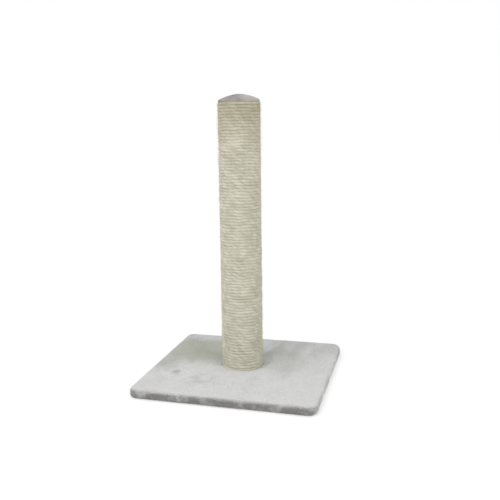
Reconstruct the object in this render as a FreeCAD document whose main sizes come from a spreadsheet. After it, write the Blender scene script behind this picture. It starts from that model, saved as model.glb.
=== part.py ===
import FreeCAD, Part
import math
import os
import re
import Sketcher

# Free-standing scratching post for a cat: a cardboard tube wound with sisal rope stands on a square
# board covered in plush, and a padded plush cap closes its top. One bolt from below holds the post.
# Millimetres, +Z up. The origin is on the floor, under the post's axis.

DRIVING_SIZES = (
    ("base_side", 400.0, "side of the square base, over its plush"),
    ("base_corner_radius", 19.0, "corner of the base in plan"),
    ("board_thickness", 16.0, "chipboard"),
    ("board_gap", 0.2, "between the board's edge and its cover"),
    ("plush_thickness", 5.0, "pile and backing on top and round the edge"),
    ("plush_top_radius", 10.0, "upper edge of the covered base"),
    ("plush_under_radius", 8.0, "lower edge of the covered base"),
    ("hem_thickness", 2.5, "plush pressed flat under the board"),
    ("hem_width", 38.0, "turned under the board, from the outer edge"),
    ("mitre_width", 2.0, "slit in the hem at each corner"),
    ("mitre_margin", 14.0, "from the end of a slit to the base's corner"),
    ("seat_depth", 2.5, "how far the post's foot presses into the pile"),
    ("seat_gap", 0.3, "between the pile and the lowest turn of rope"),
    ("tube_diameter", 80.0, "outside of the cardboard tube"),
    ("tube_wall", 4.0, "wound cardboard"),
    ("tube_height", 590.0, "length of the tube"),
    ("plug_gap", 0.2, "between a plug and the tube's bore"),
    ("bottom_plug_height", 25.0, "wooden plug that takes the bolt"),
    ("top_plug_height", 18.0, "wooden plug under the cap"),
    ("bolt_diameter", 8.0, "shank of the post's bolt"),
    ("bolt_length", 40.0, "under the head"),
    ("bolt_head_diameter", 17.0, "flat furniture head"),
    ("bolt_head_height", 4.0, "flat furniture head"),
    ("socket_diameter", 5.8, "hexagon socket, over its corners"),
    ("socket_depth", 2.5, "hexagon socket"),
    ("bolt_hole_diameter", 9.0, "through board, plush and plug"),
    ("washer_diameter", 24.0, "outside"),
    ("washer_bore", 8.4, "inside"),
    ("washer_thickness", 2.0, "steel"),
    ("counterbore_diameter", 30.0, "in the board's underside"),
    ("head_recess", 1.0, "from the board's underside up to the bolt's head"),
    ("nut_flange_diameter", 22.0, "pronged nut, on the plug's top"),
    ("nut_flange_thickness", 1.5, "steel"),
    ("nut_barrel_diameter", 9.8, "pronged nut"),
    ("nut_barrel_length", 10.0, "under the flange"),
    ("prong_length", 6.0, "under the flange"),
    ("prong_width", 3.0, "along the rim"),
    ("prong_thickness", 1.2, "across the rim"),
    ("fit_gap", 0.1, "around fasteners, in radius or each way"),
    ("brad_diameter", 1.5, "headless nail through the tube into a plug"),
    ("brad_length", 16.0, "headless nail"),
    ("rope_diameter", 6.0, "sisal rope"),
    ("rope_gap", 0.45, "least space between two turns"),
    ("rope_tube_gap", 0.2, "between the rope and what it is wound on"),
    ("rope_start_angle", 150.0, "cut end at the foot, from +X"),
    ("rope_end_angle", 16.0, "cut end under the cap, from +X"),
    ("rope_nail_diameter", 1.6, "nail through each end of the rope"),
    ("rope_nail_length", 9.8, "from the head's face to the tip"),
    ("rope_nail_head_diameter", 4.0, "flat head"),
    ("rope_nail_head_height", 0.8, "flat head"),
    ("cap_diameter", 90.0, "plush cap, over its rim"),
    ("cap_height", 18.3, "from the rope's top to the crown's highest point"),
    ("cap_rim_height", 4.4, "upright side of the cap, below the crown"),
    ("cap_rim_radius", 2.5, "edge between rim and crown"),
    ("cap_under_radius", 1.5, "lower edge of the rim"),
    ("cap_plush_thickness", 5.0, "pile and backing over the wadding"),
    ("cap_hem_depth", 13.0, "held under the last turns of rope"),
    ("cap_hem_thickness", 0.6, "crushed between rope and tube"),
    ("cap_gap", 0.2, "between the cap and the rope below it"),
    ("wadding_gap", 0.2, "between the wadding and the plush over it"),
    ("staple_crown", 10.0, "width of a hem staple"),
    ("staple_leg", 8.0, "height of a hem staple"),
    ("cap_staple_crown", 8.0, "width of a cap staple"),
    ("cap_staple_leg", 4.4, "depth of a cap staple"),
    ("staple_wire_width", 1.2, "flat wire"),
    ("staple_wire_thickness", 0.5, "flat wire"),
    ("staple_sink", 0.5, "how far a hem staple is pressed in"),
    ("hem_staple_inset", 12.0, "from the hem's free edge"),
)
HEM_STAPLES_PER_SIDE = 5
CAP_STAPLES = 6
BRADS_PER_PLUG = 4
NUT_PRONGS = 4
ROPE_STRETCHES = 4

# Levels and radii that several pieces share, in terms of the driving sizes.
BOARD_TOP = "(hem_thickness + board_thickness)"
PLUSH_TOP = "(hem_thickness + board_thickness + plush_thickness)"
FOOT = "(hem_thickness + board_thickness + plush_thickness - seat_depth)"
TUBE_TOP = "(" + FOOT + " + tube_height)"
CAP_UNDERSIDE = "(" + TUBE_TOP + " + cap_gap)"
CROWN_TOP = "(" + CAP_UNDERSIDE + " + cap_height)"
TUBE_RADIUS = "(tube_diameter / 2)"
HEM_INSIDE = "(tube_diameter / 2 + fit_gap)"
CROWN_RISE = "(cap_height - cap_rim_height)"
CROWN_SPHERE = "(((cap_diameter / 2)^2 + " + CROWN_RISE + "^2) / (2 * " + CROWN_RISE + "))"
PLUG_RADIUS = "(tube_diameter / 2 - tube_wall - plug_gap)"
ROPE_RADIUS = "(tube_diameter / 2 + rope_tube_gap + rope_diameter / 2)"
WINDOW_SIDE = "(base_side - 2 * hem_width)"
WASHER_SEAT = "(hem_thickness + head_recess + bolt_head_height + washer_thickness)"

document = FreeCAD.newDocument("scratching_post")
sheet = document.addObject("Spreadsheet::Sheet", "Sizes")
for row, (alias, value, meaning) in enumerate(DRIVING_SIZES, start=1):
    sheet.set("A%d" % row, alias)
    sheet.set("B%d" % row, str(value))
    sheet.set("C%d" % row, meaning)
    sheet.setAlias("B%d" % row, alias)
document.recompute()


# ---- Working with the sheet -------------------------------------------------------------------

def size(expression):
    """The number that an expression of driving sizes comes to."""
    return float(sheet.evalExpression(expression))


def bind(thing, path, expression):
    """Ties one property of a feature to an expression of driving sizes."""
    thing.setExpression(path, re.sub(r"\b[a-z]+(?:_[a-z]+)+\b", r"Sizes.\g<0>", expression))


def lift(thing, height):
    """Stands a sub-part at its height above the floor."""
    bind(thing, ".Placement.Base.z", height)


# ---- Sketches and features --------------------------------------------------------------------

def new_sketch(body, plane, name):
    """A sketch on one of the body's own origin planes."""
    sketch = body.newObject("Sketcher::SketchObject", name)
    origin_plane = [item for item in body.Origin.OriginFeatures if item.Role == plane][0]
    sketch.AttachmentSupport = [(origin_plane, "")]
    sketch.MapMode = "FlatFace"
    return sketch


def add_circle(sketch, diameter):
    """A circle round the sketch's origin."""
    radius = size(diameter) / 2
    circle = sketch.addGeometry(Part.Circle(FreeCAD.Vector(0, 0, 0), FreeCAD.Vector(0, 0, 1), radius))
    sketch.addConstraint(Sketcher.Constraint("Coincident", circle, 3, -1, 1))
    constraint = sketch.addConstraint(Sketcher.Constraint("Diameter", circle, 2 * radius))
    bind(sketch, "Constraints[%d]" % constraint, diameter)


def add_square(sketch, side):
    """A square centred on the sketch's origin."""
    half = size(side) / 2
    corners = [FreeCAD.Vector(x * half, y * half, 0) for x, y in ((-1, -1), (1, -1), (1, 1), (-1, 1))]
    lines = []
    for index in range(4):
        lines.append(sketch.addGeometry(Part.LineSegment(corners[index], corners[(index + 1) % 4])))
    for index in range(4):
        sketch.addConstraint(Sketcher.Constraint("Coincident", lines[index], 2, lines[(index + 1) % 4], 1))
        direction = "Vertical" if index % 2 else "Horizontal"
        sketch.addConstraint(Sketcher.Constraint(direction, lines[index]))
    sketch.addConstraint(Sketcher.Constraint("Symmetric", lines[0], 1, lines[2], 1, -1, 1))
    for line, kind in ((lines[0], "DistanceX"), (lines[1], "DistanceY")):
        constraint = sketch.addConstraint(Sketcher.Constraint(kind, line, 1, line, 2, 2 * half))
        bind(sketch, "Constraints[%d]" % constraint, side)


def add_profile(sketch, points):
    """A closed outline of straight lines through points of (radius, height)."""
    places = [FreeCAD.Vector(size(across), size(up), 0) for across, up in points]
    count = len(points)
    lines = []
    for index in range(count):
        lines.append(sketch.addGeometry(Part.LineSegment(places[index], places[(index + 1) % count])))
    for index, line in enumerate(lines):
        following = lines[(index + 1) % count]
        sketch.addConstraint(Sketcher.Constraint("Coincident", line, 2, following, 1))
        pin_point(sketch, line, points[index])


def pin_point(sketch, line, place):
    """Holds the start of a line at a radius and a height."""
    for expression, kind, axis in ((place[0], "DistanceX", -2), (place[1], "DistanceY", -1)):
        if expression == "0":
            sketch.addConstraint(Sketcher.Constraint("PointOnObject", line, 1, axis))
        else:
            constraint = sketch.addConstraint(Sketcher.Constraint(kind, -1, 1, line, 1, size(expression)))
            bind(sketch, "Constraints[%d]" % constraint, expression)


def pad(body, sketch, length):
    """Raises the sketch from the ground plane."""
    feature = body.newObject("PartDesign::Pad", sketch.Name + "_pad")
    feature.Profile = sketch
    bind(feature, "Length", length)
    document.recompute()
    return feature


def turned_body(name, points):
    """A body turned about the post's axis from its half section."""
    body = document.addObject("PartDesign::Body", name)
    sketch = new_sketch(body, "XZ_Plane", name + "_section")
    add_profile(sketch, points)
    turned = body.newObject("PartDesign::Revolution", name + "_turned")
    turned.Profile = sketch
    turned.ReferenceAxis = (sketch, ["V_Axis"])
    turned.Angle = 360
    document.recompute()
    return body


def round_edges(body, base, radius, is_wanted, name):
    """Rounds those edges of the body's last feature that a test picks."""
    chosen = ["Edge%d" % (index + 1) for index, edge in enumerate(base.Shape.Edges) if is_wanted(edge)]
    fillet = body.newObject("PartDesign::Fillet", name)
    fillet.Base = (base, chosen)
    bind(fillet, "Radius", radius)
    document.recompute()
    return fillet


def is_upright(edge):
    """Whether an edge runs straight up."""
    return edge.BoundBox.XLength < 1e-4 and edge.BoundBox.YLength < 1e-4


def lies_level_at(height, radius=None):
    """A test for edges that lie level at a height, and at a radius where one is given."""
    def test(edge):
        box = edge.BoundBox
        level = abs(box.ZMin - height) < 1e-3 and abs(box.ZMax - height) < 1e-3
        return level and (radius is None or abs(box.XMax - radius) < 1e-3)
    return test


def cylinder(name, diameter, height, base):
    """An upright cylinder on the post's axis."""
    solid = document.addObject("Part::Cylinder", name)
    bind(solid, "Radius", "(" + diameter + ") / 2")
    bind(solid, "Height", height)
    lift(solid, base)
    return solid


def crowned_disc(name, radius, base, sphere, top):
    """A disc on the post's axis whose upper face is part of a sphere."""
    disc = cylinder(name + "_disc", "2 * " + radius, top + " - " + base, base)
    ball = document.addObject("Part::Sphere", name + "_ball")
    bind(ball, "Radius", sphere)
    lift(ball, top + " - (" + sphere + ")")
    crown = document.addObject("Part::MultiCommon", name)
    crown.Shapes = [disc, ball]
    document.recompute()
    return crown


def rounded(name, base, wanted):
    """A solid whose level edges are rounded: wanted holds (height, radius, rounding) as numbers."""
    chosen = []
    for height, radius, rounding in wanted:
        test = lies_level_at(height, radius)
        for index, edge in enumerate(base.Shape.Edges, start=1):
            if test(edge):
                chosen.append((index, rounding, rounding))
    fillet = document.addObject("Part::Fillet", name)
    fillet.Base = base
    fillet.Edges = chosen
    document.recompute()
    return fillet


def group(name, solids):
    """Solids that a loop has made, held together in one object of the document."""
    feature = document.addObject("Part::Feature", name)
    feature.Shape = Part.makeCompound(solids)
    feature.Placement = FreeCAD.Placement()
    return feature


def fused(name, tools):
    """Several cutting solids as one tool."""
    fusion = document.addObject("Part::MultiFuse", name)
    fusion.Shapes = tools
    document.recompute()
    return fusion


def cut(name, base, tool):
    """What is left of base where tool has been."""
    result = document.addObject("Part::Cut", name)
    result.Base = base
    result.Tool = tool
    document.recompute()
    return result


def around(count, shape, first_angle=0.0):
    """Copies of a shape, evenly spaced about the post's axis."""
    copies = []
    for index in range(count):
        copy = shape.copy()
        copy.rotate(FreeCAD.Vector(), FreeCAD.Vector(0, 0, 1), first_angle + 360.0 * index / count)
        copies.append(copy)
    return copies


def block(length, width, height, low_corner):
    """A box from its low corner."""
    return Part.makeBox(length, width, height, FreeCAD.Vector(*low_corner))


# ---- Covered base -----------------------------------------------------------------------------

def rounded_slab(name, side, height, corner_radius):
    """A square slab centred on the post's axis, with round corners in plan."""
    body = document.addObject("PartDesign::Body", name)
    outline = new_sketch(body, "XY_Plane", name + "_outline")
    add_square(outline, side)
    slab = pad(body, outline, height)
    round_edges(body, slab, corner_radius, is_upright, name + "_corners")
    return body


def staple(crown, leg, gap=0.0):
    """A staple with its crown along Y from Z = 0 and its legs up +Z, grown by gap for its slots."""
    width = size("staple_wire_width")
    wire = size("staple_wire_thickness")
    back = block(width + 2 * gap, crown + 2 * gap, wire, (-width / 2 - gap, -crown / 2 - gap, 0))
    legs = []
    for low in (-crown / 2, crown / 2 - wire):
        legs.append(block(width + 2 * gap, wire + 2 * gap, leg + gap, (-width / 2 - gap, low - gap, 0)))
    return back.fuse(legs).removeSplitter()


def hem_staples(gap=0.0):
    """The staples that hold the hem, in a row along each side of the base."""
    shape = staple(size("staple_crown"), size("staple_leg"), gap)
    inset = size("base_side / 2 - hem_width + hem_staple_inset")
    spacing = size(WINDOW_SIDE) / HEM_STAPLES_PER_SIDE
    row = []
    for index in range(HEM_STAPLES_PER_SIDE):
        along = (index - (HEM_STAPLES_PER_SIDE - 1) / 2) * spacing
        row.append(shape.translated(FreeCAD.Vector(inset, along, size("staple_sink"))))
    return around(4, Part.makeCompound(row))


def mitre_slits():
    """The slits in the hem, from the corners of its window towards the corners of the base."""
    inner = size(WINDOW_SIDE) / 2 * math.sqrt(2) - size("mitre_width")
    corner = size("(base_side / 2 - base_corner_radius)") * math.sqrt(2) + size("base_corner_radius")
    length = corner - size("mitre_margin") - inner
    width = size("mitre_width")
    slit = block(length, width, size("hem_thickness"), (inner, -width / 2, 0))
    return around(4, slit, 45.0)


def base_board():
    """Chipboard square with a counterbored hole for the post's bolt and slots for the staples."""
    board = rounded_slab("board_blank", "base_side - 2 * (plush_thickness + board_gap)",
                         "board_thickness", "base_corner_radius - plush_thickness - board_gap")
    lift(board, "hem_thickness")
    hole = cylinder("board_hole", "bolt_hole_diameter", "board_thickness", "hem_thickness")
    depth = WASHER_SEAT + " - hem_thickness"
    counterbore = cylinder("board_counterbore", "counterbore_diameter", depth, "hem_thickness")
    slots = group("board_slots", flat_list(hem_staples(size("fit_gap"))))
    return cut("base_board", board, fused("board_cuts", [hole, counterbore, slots]))


def flat_list(compounds):
    """The single solids of several compounds."""
    return [solid for compound in compounds for solid in compound.Solids]


def base_plush():
    """Plush wrapped over the board and turned under it, crushed flat where the post stands."""
    cover = rounded_slab("cover_blank", "base_side", PLUSH_TOP, "base_corner_radius")
    top = lies_level_at(size(PLUSH_TOP))
    round_edges(cover, cover.Tip, "min(plush_top_radius; " + PLUSH_TOP + " * 0.5)", top, "cover_top_edge")
    under = lies_level_at(0.0)
    round_edges(cover, cover.Tip, "min(plush_under_radius; " + PLUSH_TOP + " * 0.4)", under,
                "cover_lower_edge")
    room = rounded_slab("board_room", "base_side - 2 * plush_thickness", "board_thickness",
                        "base_corner_radius - plush_thickness")
    lift(room, "hem_thickness")
    window = rounded_slab("hem_window", WINDOW_SIDE, "hem_thickness", "mitre_width")
    seat = cylinder("post_seat", "2 * (" + ROPE_RADIUS + " + rope_diameter / 2 + seat_gap)",
                    "seat_depth", FOOT)
    hole = cylinder("plush_hole", "bolt_hole_diameter", "plush_thickness", BOARD_TOP)
    slits = group("hem_slits", mitre_slits())
    slots = group("hem_slots", flat_list(hem_staples(size("fit_gap"))))
    return cut("base_plush", cover, fused("cover_cuts", [room, window, seat, hole, slits, slots]))


def base_hem_staples():
    """The staples in the hem, each a solid of its own."""
    return group("base_hem_staples", flat_list(hem_staples()))


# ---- Post -------------------------------------------------------------------------------------

def radial_pin(diameter, inner, outer, height):
    """A round pin along +X, square to the post's axis."""
    base = FreeCAD.Vector(inner, 0, height)
    return Part.makeCylinder(diameter / 2, outer - inner, base, FreeCAD.Vector(1, 0, 0))


def plug_brads(height, gap=0.0):
    """Headless nails through the tube into the plug whose middle lies at height."""
    outer = size(TUBE_RADIUS) - size("fit_gap") + gap
    inner = outer - size("brad_length") - 2 * gap
    return around(BRADS_PER_PLUG, radial_pin(size("brad_diameter") + 2 * gap, inner, outer, height), 45.0)


def bottom_brad_height():
    """The level of the nails in the bottom plug."""
    return size(FOOT + " + bottom_plug_height / 2")


def top_brad_height():
    """The level of the nails in the top plug."""
    return size(TUBE_TOP + " - top_plug_height / 2")


def post_tube():
    """Cardboard tube, with the holes that its nails and staples have made."""
    body = document.addObject("PartDesign::Body", "tube_blank")
    ring = new_sketch(body, "XY_Plane", "tube_ring")
    add_circle(ring, "tube_diameter")
    add_circle(ring, "tube_diameter - 2 * tube_wall")
    pad(body, ring, "tube_height")
    lift(body, FOOT)
    gap = size("fit_gap")
    holes = plug_brads(bottom_brad_height(), 2 * gap) + plug_brads(top_brad_height(), 2 * gap)
    holes += cap_staple_ring(gap) + rope_nails(gap)
    return cut("post_tube", body, group("tube_holes", holes))


def prongs(gap=0.0):
    """The nut's prongs, which point down from the flange's rim into the plug."""
    top = size(FOOT + " + bottom_plug_height")
    length = size("prong_length") + gap
    width = size("prong_width") + 2 * gap
    thickness = size("prong_thickness") + 2 * gap
    outer = size("nut_flange_diameter / 2") - size("fit_gap") + gap
    prong = block(thickness, width, length, (outer - thickness, -width / 2, top - length))
    return around(NUT_PRONGS, prong)


def bottom_plug():
    """Wooden plug in the foot of the tube, bored for the bolt and for the nut's barrel."""
    barrel_radius = "(nut_barrel_diameter / 2 + fit_gap)"
    step = "(bottom_plug_height - nut_barrel_length - fit_gap)"
    outline = [
        ("bolt_hole_diameter / 2", "0"),
        (PLUG_RADIUS, "0"),
        (PLUG_RADIUS, "bottom_plug_height"),
        (barrel_radius, "bottom_plug_height"),
        (barrel_radius, step),
        ("bolt_hole_diameter / 2", step),
    ]
    body = turned_body("bottom_plug_blank", outline)
    lift(body, FOOT)
    gap = size("fit_gap")
    cuts = plug_brads(bottom_brad_height(), gap) + prongs(gap)
    return cut("bottom_plug", body, group("bottom_plug_cuts", cuts))


def top_plug():
    """Wooden plug level with the top of the tube, under the cap."""
    body = document.addObject("PartDesign::Body", "top_plug_blank")
    disc = new_sketch(body, "XY_Plane", "top_plug_disc")
    add_circle(disc, "2 * " + PLUG_RADIUS)
    pad(body, disc, "top_plug_height")
    lift(body, TUBE_TOP + " - top_plug_height")
    holes = plug_brads(top_brad_height(), size("fit_gap"))
    return cut("top_plug", body, group("top_plug_holes", holes))


def post_t_nut():
    """Pronged nut on the bottom plug, pulled down into the wood by the bolt."""
    top = "(nut_barrel_length + nut_flange_thickness)"
    bore = "(bolt_diameter / 2 + fit_gap / 2)"
    outline = [
        (bore, "0"),
        ("nut_barrel_diameter / 2", "0"),
        ("nut_barrel_diameter / 2", "nut_barrel_length"),
        ("nut_flange_diameter / 2", "nut_barrel_length"),
        ("nut_flange_diameter / 2", top),
        (bore, top),
    ]
    body = turned_body("nut_blank", outline)
    lift(body, FOOT + " + bottom_plug_height - nut_barrel_length")
    return fused("post_t_nut", [body, group("nut_prongs", prongs())])


def post_bolt():
    """Flat-headed bolt with a hexagon socket, driven from under the base."""
    underside = "(hem_thickness + head_recess)"
    disc = cylinder("bolt_disc", "bolt_head_diameter", "bolt_head_height", underside)
    document.recompute()
    edge = (size(underside), size("bolt_head_diameter / 2"), size("bolt_head_height / 4"))
    head = rounded("bolt_head", disc, [edge])
    shank = cylinder("bolt_shank", "bolt_diameter", "bolt_length", underside + " + bolt_head_height")
    socket = document.addObject("Part::Prism", "bolt_socket")
    socket.Polygon = 6
    bind(socket, "Circumradius", "socket_diameter / 2")
    bind(socket, "Height", "socket_depth")
    lift(socket, underside)
    return cut("post_bolt", fused("bolt_blank", [head, shank]), socket)


def bolt_washer():
    """Wide washer between the bolt's head and the board."""
    base = WASHER_SEAT + " - washer_thickness"
    disc = cylinder("washer_disc", "washer_diameter", "washer_thickness", base)
    hole = cylinder("washer_hole", "washer_bore", "washer_thickness", base)
    return cut("bolt_washer", disc, hole)


# ---- Rope -------------------------------------------------------------------------------------

def rope_turns():
    """How many turns the post holds, from the rope's start round to the angle of its end."""
    room = size("tube_height - cap_gap - rope_diameter")
    most = room / size("rope_diameter + rope_gap")
    part_turn = ((size("rope_end_angle") - size("rope_start_angle")) / 360.0) % 1.0
    return math.floor(most - part_turn) + part_turn


def rope_rise():
    """How far the rope climbs in a turn."""
    return size("tube_height - cap_gap - rope_diameter") / rope_turns()


def hem_swell(height):
    """How far the cap's hem, under the last turns, holds the rope out at a height."""
    full = size(TUBE_TOP + " - cap_hem_depth - rope_diameter / 2")
    share = min(max((height - full) / rope_rise() + 1.0, 0.0), 1.0)
    outward = size("cap_hem_thickness + fit_gap") - size("rope_tube_gap - fit_gap")
    return outward * share * share * (3.0 - 2.0 * share)


def rope_point(turn):
    """The rope's centre line after some turns."""
    height = size(FOOT + " + rope_diameter / 2") + rope_rise() * turn
    radius = size(ROPE_RADIUS) + hem_swell(height)
    angle = math.radians(size("rope_start_angle")) + 2.0 * math.pi * turn
    return FreeCAD.Vector(radius * math.cos(angle), radius * math.sin(angle), height)


def rope_direction(turn):
    """The way that the rope runs after some turns."""
    step = 1e-4
    return (rope_point(turn + step) - rope_point(turn - step)).normalize()


def arc_round(start, corner, end):
    """The arc that touches start to corner at start, and corner to end at end."""
    middle = (start + end) * 0.5
    half = start.distanceToPoint(end) / 2
    half_turn = math.acos(min(1.0, half / start.distanceToPoint(corner)))
    outward = (corner - middle).normalize()
    return Part.Arc(start, middle + outward * (half * math.tan(half_turn / 2)), end).toShape()


def biarc(start, start_direction, end, end_direction):
    """Two arcs from start to end in the given directions, in line where they meet."""
    chord = end - start
    both = start_direction + end_direction
    squared = both.dot(both) - 4.0
    linear = -2.0 * chord.dot(both)
    constant = chord.dot(chord)
    root = math.sqrt(linear * linear - 4.0 * squared * constant)
    reach = (-linear - root) / (2.0 * squared)
    first_corner = start + start_direction * reach
    second_corner = end - end_direction * reach
    meeting = (first_corner + second_corner) * 0.5
    return [arc_round(start, first_corner, meeting), arc_round(meeting, second_corner, end)]


def rope_wire(first_turn, last_turn):
    """The centre line of one stretch: arcs of about a quarter turn between two short straight ends."""
    straight = size("rope_diameter")
    lead = 0.25
    halves = round((last_turn - first_turn - 2 * lead) / 0.5)
    step = (last_turn - first_turn - 2 * lead) / halves
    turns = [first_turn + lead + step * index for index in range(halves + 1)]
    start = rope_point(first_turn)
    end = rope_point(last_turn)
    knots = [(start + rope_direction(first_turn) * straight, rope_direction(first_turn))]
    knots += [(rope_point(turn), rope_direction(turn)) for turn in turns]
    knots.append((end - rope_direction(last_turn) * straight, rope_direction(last_turn)))
    edges = [Part.LineSegment(start, knots[0][0]).toShape()]
    for (here, heading), (there, bearing) in zip(knots, knots[1:]):
        edges += biarc(here, heading, there, bearing)
    edges.append(Part.LineSegment(knots[-1][0], end).toShape())
    return Part.Wire(edges)


def rope_tube(wire, first_turn):
    """The rope's round section carried along its centre line."""
    section = Part.Wire([Part.makeCircle(size("rope_diameter") / 2, rope_point(first_turn),
                                         rope_direction(first_turn))])
    shell = Part.BRepOffsetAPI.MakePipeShell(wire)
    shell.add(section, False, False)
    shell.build()
    shell.makeSolid()
    return shell.shape()


def stretch_ends():
    """The turns at which the stretches of rope begin and end: whole turns, but for the last."""
    turns = rope_turns()
    cuts = [math.floor(turns * index / ROPE_STRETCHES) for index in range(ROPE_STRETCHES)]
    return cuts + [turns]


def rope_nail(turn, towards, gap=0.0):
    """The nail through the middle of a straight end of rope, pointing at the post's axis."""
    place = rope_point(turn) + rope_direction(turn) * (towards * size("rope_diameter") / 2)
    end = rope_point(turn)
    outward = FreeCAD.Vector(end.x, end.y, 0).normalize()
    crown = place + outward * (size("rope_diameter") / 2)
    shank = Part.makeCylinder(size("rope_nail_diameter") / 2 + gap, size("rope_nail_length") + gap,
                              crown, -outward)
    head = Part.makeCylinder(size("rope_nail_head_diameter") / 2 + gap, size("rope_nail_head_height"),
                             crown, -outward)
    return shank.fuse(head).removeSplitter()


def rope_nails(gap=0.0):
    """One nail through each cut end of the rope, into the tube."""
    return [rope_nail(0.0, 1, gap), rope_nail(rope_turns(), -1, gap)]


def sisal_rope():
    """One length of rope from foot to cap, in stretches that meet face to face behind the post."""
    ends = stretch_ends()
    wires = [rope_wire(first, last) for first, last in zip(ends, ends[1:])]
    holes = rope_nails(size("fit_gap"))
    stretches = []
    for index, wire in enumerate(wires):
        solid = rope_tube(wire, ends[index])
        expected = wire.Length * math.pi * size("rope_diameter") ** 2 / 4
        if abs(solid.Volume / expected - 1.0) > 0.001:
            raise RuntimeError("rope stretch %d lost its shape" % (index + 1))
        if index == 0:
            solid = solid.cut(holes[0])
        if index == ROPE_STRETCHES - 1:
            solid = solid.cut(holes[1])
        stretch = document.addObject("Part::Feature", "sisal_rope_%d" % (index + 1))
        stretch.Shape = solid.Solids[0]
        stretch.Placement = FreeCAD.Placement()
        stretches.append(stretch)
    print_rope_facts(wires)
    return stretches


def print_rope_facts(wires):
    """Prints the rope's length, its turns and the least gap from each turn to the next."""
    samples = 48
    points = []
    for wire, first, last in zip(wires, stretch_ends(), stretch_ends()[1:]):
        points += wire.discretize(Number=round(samples * (last - first)))
    least = min(points[index].distanceToPoint(points[other])
                for index in range(len(points))
                for other in range(index + samples // 2, min(index + 3 * samples // 2, len(points))))
    closest = min(math.hypot(point.x, point.y) for point in points) - size(TUBE_RADIUS)
    print("rope length %.0f mm in %.2f turns, rise %.3f mm a turn"
          % (sum(wire.Length for wire in wires), rope_turns(), rope_rise()))
    print("least gap between turns %.3f mm, least gap to the tube %.3f mm"
          % (least - size("rope_diameter"), closest - size("rope_diameter") / 2))


def rope_end_nails():
    """The nails in the rope's two cut ends, each a solid of its own."""
    return group("rope_end_nails", rope_nails())


# ---- Cap --------------------------------------------------------------------------------------

def cap_plush():
    """Plush stretched over the top of the post, its hem held under the last turns of rope."""
    hem_edge = "(" + TUBE_TOP + " - cap_hem_depth)"
    dome = crowned_disc("cap_dome", "(cap_diameter / 2)", CAP_UNDERSIDE, CROWN_SPHERE, CROWN_TOP)
    side = size("cap_diameter / 2")
    wall = size("cap_rim_height")
    edges = [
        (size(CAP_UNDERSIDE) + wall, side, min(size("cap_rim_radius"), 0.6 * wall)),
        (size(CAP_UNDERSIDE), side, min(size("cap_under_radius"), 0.35 * wall)),
    ]
    dome = rounded("cap_rounded", dome, edges)
    hem = cylinder("cap_hem", "2 * (" + HEM_INSIDE + " + cap_hem_thickness)",
                   CAP_UNDERSIDE + " + cap_rim_height / 2 - " + hem_edge, hem_edge)
    room = crowned_disc("cap_room", HEM_INSIDE, hem_edge, CROWN_SPHERE + " - cap_plush_thickness",
                        "(" + CROWN_TOP + " - cap_plush_thickness)")
    slots = group("cap_slots", cap_staple_ring(size("fit_gap")) + rope_nails(size("fit_gap")))
    return cut("cap_plush", fused("cap_blank", [dome, hem]), fused("cap_cuts", [room, slots]))


def cap_padding():
    """Crowned wadding between the tube's top and the plush over it."""
    return crowned_disc("cap_padding", "(" + HEM_INSIDE + " - wadding_gap)", TUBE_TOP,
                        CROWN_SPHERE + " - cap_plush_thickness - wadding_gap",
                        "(" + CROWN_TOP + " - cap_plush_thickness - wadding_gap)")


def cap_staple_ring(gap=0.0):
    """Upright staples round the cap's hem, level with its outer face."""
    shape = staple(size("cap_staple_crown"), size("cap_staple_leg"), gap)
    shape.rotate(FreeCAD.Vector(), FreeCAD.Vector(0, 1, 0), -90)
    shape.rotate(FreeCAD.Vector(), FreeCAD.Vector(1, 0, 0), 90)
    outer = size(TUBE_RADIUS + " + fit_gap + cap_hem_thickness")
    height = size(TUBE_TOP + " - cap_hem_depth / 2")
    shape.translate(FreeCAD.Vector(outer, 0, height))
    return around(CAP_STAPLES, shape)


def cap_hem_staples():
    """The staples in the cap's hem, each a solid of its own."""
    return group("cap_hem_staples", cap_staple_ring())


# ---- Assembly ---------------------------------------------------------------------------------

subparts = [
    base_board(),
    base_plush(),
    base_hem_staples(),
    post_tube(),
    bottom_plug(),
    group("bottom_plug_brads", plug_brads(bottom_brad_height())),
    top_plug(),
    group("top_plug_brads", plug_brads(top_brad_height())),
    post_t_nut(),
    post_bolt(),
    bolt_washer(),
    *sisal_rope(),
    rope_end_nails(),
    cap_padding(),
    cap_plush(),
    cap_hem_staples(),
]
document.recompute()

for item in document.Objects:
    if "Invalid" in item.State or "Error" in item.State:
        raise RuntimeError("%s did not recompute: %s" % (item.Name, item.State))
os.makedirs("parts", exist_ok=True)
for subpart in subparts:
    subpart.Label = subpart.Name
    shape = subpart.Shape
    if shape.isNull() or not shape.isValid() or not shape.Solids:
        raise RuntimeError(subpart.Label + " has no sound shape")
    shape.exportStep("parts/%s.step" % subpart.Label)
    print("%-20s %3d solids %12.1f mm3" % (subpart.Label, len(shape.Solids), shape.Volume))
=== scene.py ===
import math

import bmesh
import bpy
from mathutils import Matrix, Vector, noise


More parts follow.
